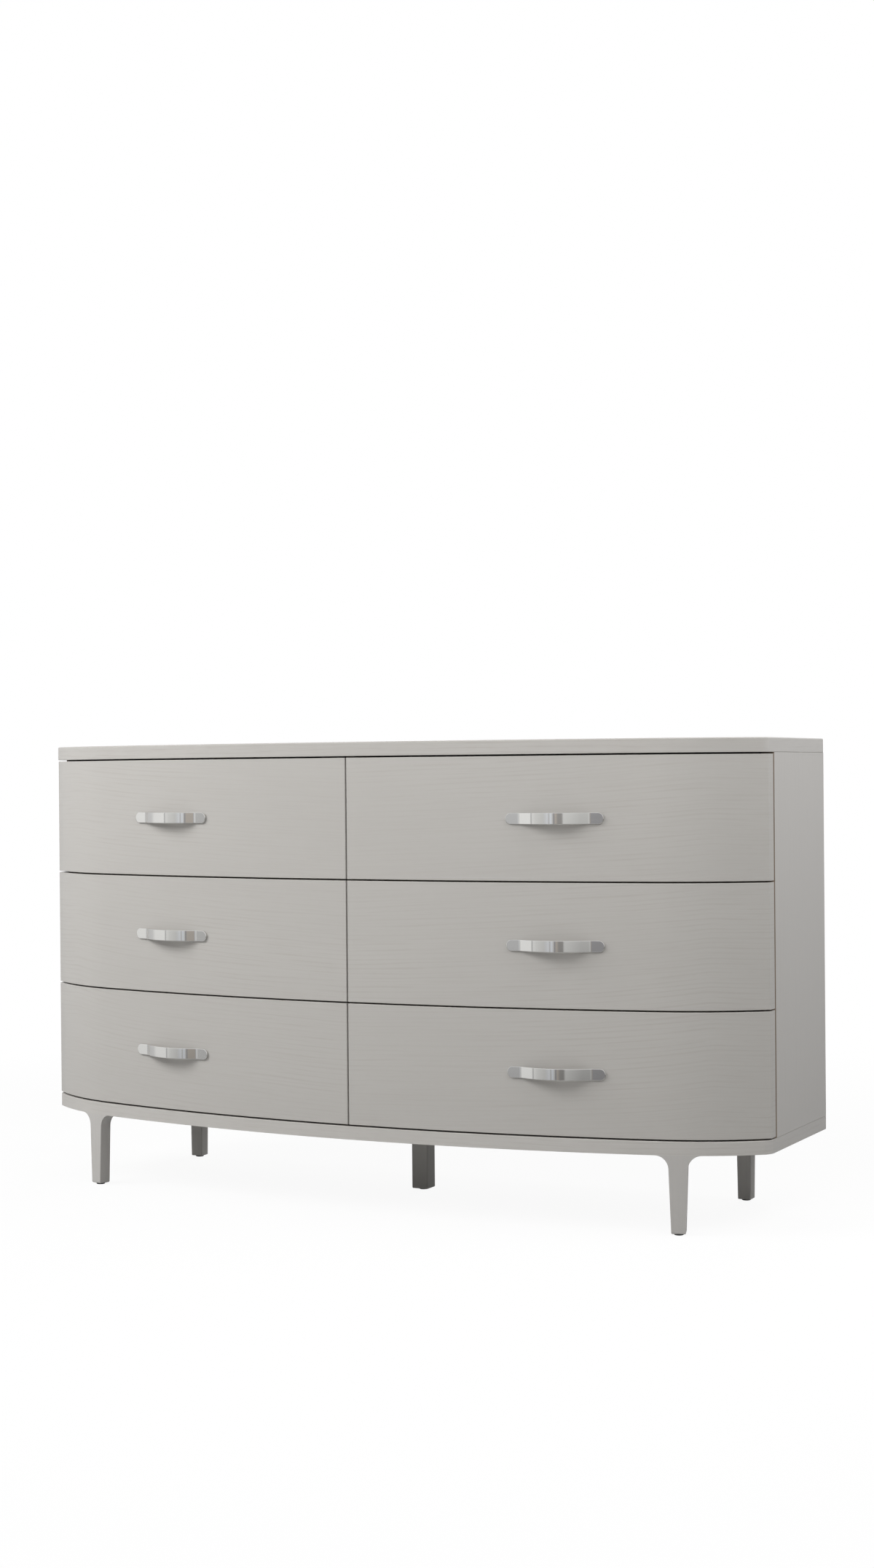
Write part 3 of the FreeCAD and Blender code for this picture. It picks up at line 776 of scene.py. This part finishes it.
# What polished metal sees round the room, by bearing in degrees from straight ahead: a
# bright screen to the left, pale walls with narrow grey uprights, a cool window, a black
# frame beside a brown curtain, a dim stretch, a pale wall
ROOM = (
    (-180, (0.42, 0.42, 0.42)), (-125, (0.40, 0.40, 0.40)), (-107, (0.64, 0.64, 0.64)),
    (-88, (0.70, 0.70, 0.70)), (-78, (0.90, 0.90, 0.89)), (-49.2, (0.94, 0.94, 0.93)),
    (-48.5, (0.50, 0.50, 0.50)), (-46.4, (0.50, 0.50, 0.50)), (-45.7, (0.86, 0.86, 0.85)),
    (-38, (0.75, 0.75, 0.74)), (-22, (0.67, 0.67, 0.66)), (-17, (0.70, 0.71, 0.73)),
    (-12.6, (0.80, 0.82, 0.86)), (-11.4, (0.57, 0.57, 0.57)), (-9.1, (0.57, 0.57, 0.57)),
    (-8.2, (0.84, 0.87, 0.93)), (-5, (0.74, 0.77, 0.81)), (-2.9, (0.63, 0.61, 0.58)),
    (-2.2, (0.30, 0.30, 0.32)), (-0.3, (0.27, 0.28, 0.31)), (0.4, (0.56, 0.52, 0.47)),
    (4, (0.50, 0.46, 0.42)), (6, (0.36, 0.35, 0.34)), (14, (0.36, 0.35, 0.34)),
    (17, (0.75, 0.75, 0.74)), (34, (0.69, 0.69, 0.68)), (50, (0.62, 0.62, 0.61)),
    (90, (0.48, 0.48, 0.48)), (180, (0.52, 0.52, 0.52)),
)
ROOM_STOPS = [((bearing + 180) / 360, (*colour, 1)) for bearing, colour in ROOM]

# Soft boxes: name, place, aim, width, height and watts
SOFT_BOXES = (
    ("key_light", (-2.1, -2.1, 2.7), (-0.3, -0.2, 0.8), 2.2, 1.8, 84),
    ("left_light", (-3.0, -1.6, 2.2), (-0.4, -0.1, 0.8), 1.6, 1.6, 28),
    ("right_light", (0.9, -2.0, 1.7), (0.45, -0.2, 0.6), 1.2, 1.2, 15.5),
    ("corner_light", (1.7, -0.7, 2.2), (0.85, -0.1, 0.75), 1.0, 1.0, 14.5),
    ("end_light", (2.3, 0.7, 2.2), (0.8, 0.0, 0.8), 1.2, 1.2, 27.5),
    ("rear_light", (-0.2, 3.4, 2.6), (0, 0, 0.5), 2.2, 2.2, 60),
)
SOFT_LEVEL = 0.12

# Camera fitted to the photograph: place, lens in mm, and yaw, pitch and roll in degrees
CAMERA_PLACE = (2.1973, -4.1960, 0.8677)
CAMERA_LENS = 52.928
CAMERA_TURN = (26.843, 0.299, -0.474)


def room_colour(recipe, x, y):
    """Colour of the room in a direction, at eye level."""
    bearing = x.math("ARCTAN2", y * -1.0) * (0.5 / math.pi) + 0.5
    return recipe.node("ValToRGB", {"stops": ROOM_STOPS}, {"Fac": bearing})


def studio_floor():
    """Pale floor that keeps the dresser's soft shadow; metal looks past it into the room."""
    bm = bmesh.new()
    bmesh.ops.create_grid(bm, x_segments=1, y_segments=1, size=30)
    mesh = bpy.data.meshes.new("studio_floor")
    bm.to_mesh(mesh)
    bm.free()
    floor = bpy.data.objects.new("studio_floor", mesh)
    bpy.context.scene.collection.objects.link(floor)
    recipe = finish("studio floor")
    seen = recipe.node("LightPath", output="Is Camera Ray")
    mirrored = recipe.node("LightPath", output="Is Glossy Ray")
    matt = recipe.node("BsdfDiffuse", links={"Color": recipe.blend(
        seen, (0.48, 0.48, 0.475, 1), (0.86, 0.86, 0.86, 1),
    )})
    white = recipe.node("Emission", links={"Color": (1, 1, 1, 1)})
    # in view it is nearly white, so that a faint shadow shows, and white far off
    x, y, _ = recipe.axes()
    away = (x * x + y * y).rise(1.5, 8.0)
    lit = recipe.node("MixShader", links={0: seen * (0.93 + away * 0.07), 1: matt, 2: white})
    clear = recipe.node("BsdfTransparent")
    sight = recipe.node("MixShader", links={0: mirrored, 1: lit, 2: clear})
    mesh.materials.append(recipe.show(sight))


def studio_world():
    """White surroundings in view, plain soft light on the dresser, the room in the metal."""
    world = bpy.data.worlds.new("studio")
    bpy.context.scene.world = world
    recipe = Recipe(world)
    seen = recipe.node("LightPath", output="Is Camera Ray")
    mirrored = recipe.node("LightPath", output="Is Glossy Ray")
    x, y, z = recipe.axes("Generated")
    # the walls darken downwards, most on the right, to a grey floor; a pale ceiling above
    lightness = (1 + z * (x * 1.4 + 2.4)).clamped()
    walls = recipe.blend(lightness, (0, 0, 0, 1), room_colour(recipe, x, y))
    floored = recipe.blend(z.rise(-0.60, -0.20), (0.50, 0.50, 0.49, 1), walls)
    room = recipe.blend(z.rise(0.12, 0.40), floored, (0.85, 0.85, 0.85, 1))
    soft = recipe.node("Background", links={"Color": (1, 1, 1, 1), "Strength": SOFT_LEVEL})
    in_metal = recipe.node("Background", links={"Color": room})
    white = recipe.node("Background", links={"Color": (1, 1, 1, 1)})
    around = recipe.node("MixShader", links={0: mirrored, 1: soft, 2: in_metal})
    recipe.show(recipe.node("MixShader", links={0: seen, 1: around, 2: white}))


def soft_box(name, place, aim, width, height, watts):
    """A rectangular studio light, kept out of the metal, which mirrors the room instead."""
    light = bpy.data.lights.new(name, "AREA")
    light.shape = "RECTANGLE"
    light.size = width
    light.size_y = height
    light.energy = watts
    lamp = bpy.data.objects.new(name, light)
    lamp.location = place
    lamp.rotation_mode = "QUATERNION"
    lamp.rotation_quaternion = (Vector(aim) - Vector(place)).to_track_quat("-Z", "Y")
    lamp.visible_glossy = False
    bpy.context.scene.collection.objects.link(lamp)


def studio_camera():
    """Camera at the photograph's place: yaw towards the left, slightly down, slightly rolled."""
    yaw, pitch, roll = (math.radians(angle) for angle in CAMERA_TURN)
    upward = Vector(UP)
    right = Vector((math.cos(yaw), math.sin(yaw), 0))
    ahead = Vector((-math.sin(yaw), math.cos(yaw), 0))
    looking = math.cos(pitch) * ahead - math.sin(pitch) * upward
    lifted = math.sin(pitch) * ahead + math.cos(pitch) * upward
    across = math.cos(roll) * right + math.sin(roll) * lifted
    above = math.cos(roll) * lifted - math.sin(roll) * right
    data = bpy.data.cameras.new("camera")
    data.sensor_width = 36
    data.lens = CAMERA_LENS
    data.clip_end = 100
    camera = bpy.data.objects.new("camera", data)
    turn = Matrix((across, above, -looking)).transposed().to_4x4()
    camera.matrix_world = Matrix.Translation(CAMERA_PLACE) @ turn
    bpy.context.scene.collection.objects.link(camera)
    bpy.context.scene.camera = camera


studio_floor()
studio_world()
for box in SOFT_BOXES:
    soft_box(*box)
studio_camera()
bpy.context.scene.view_settings.view_transform = "Standard"
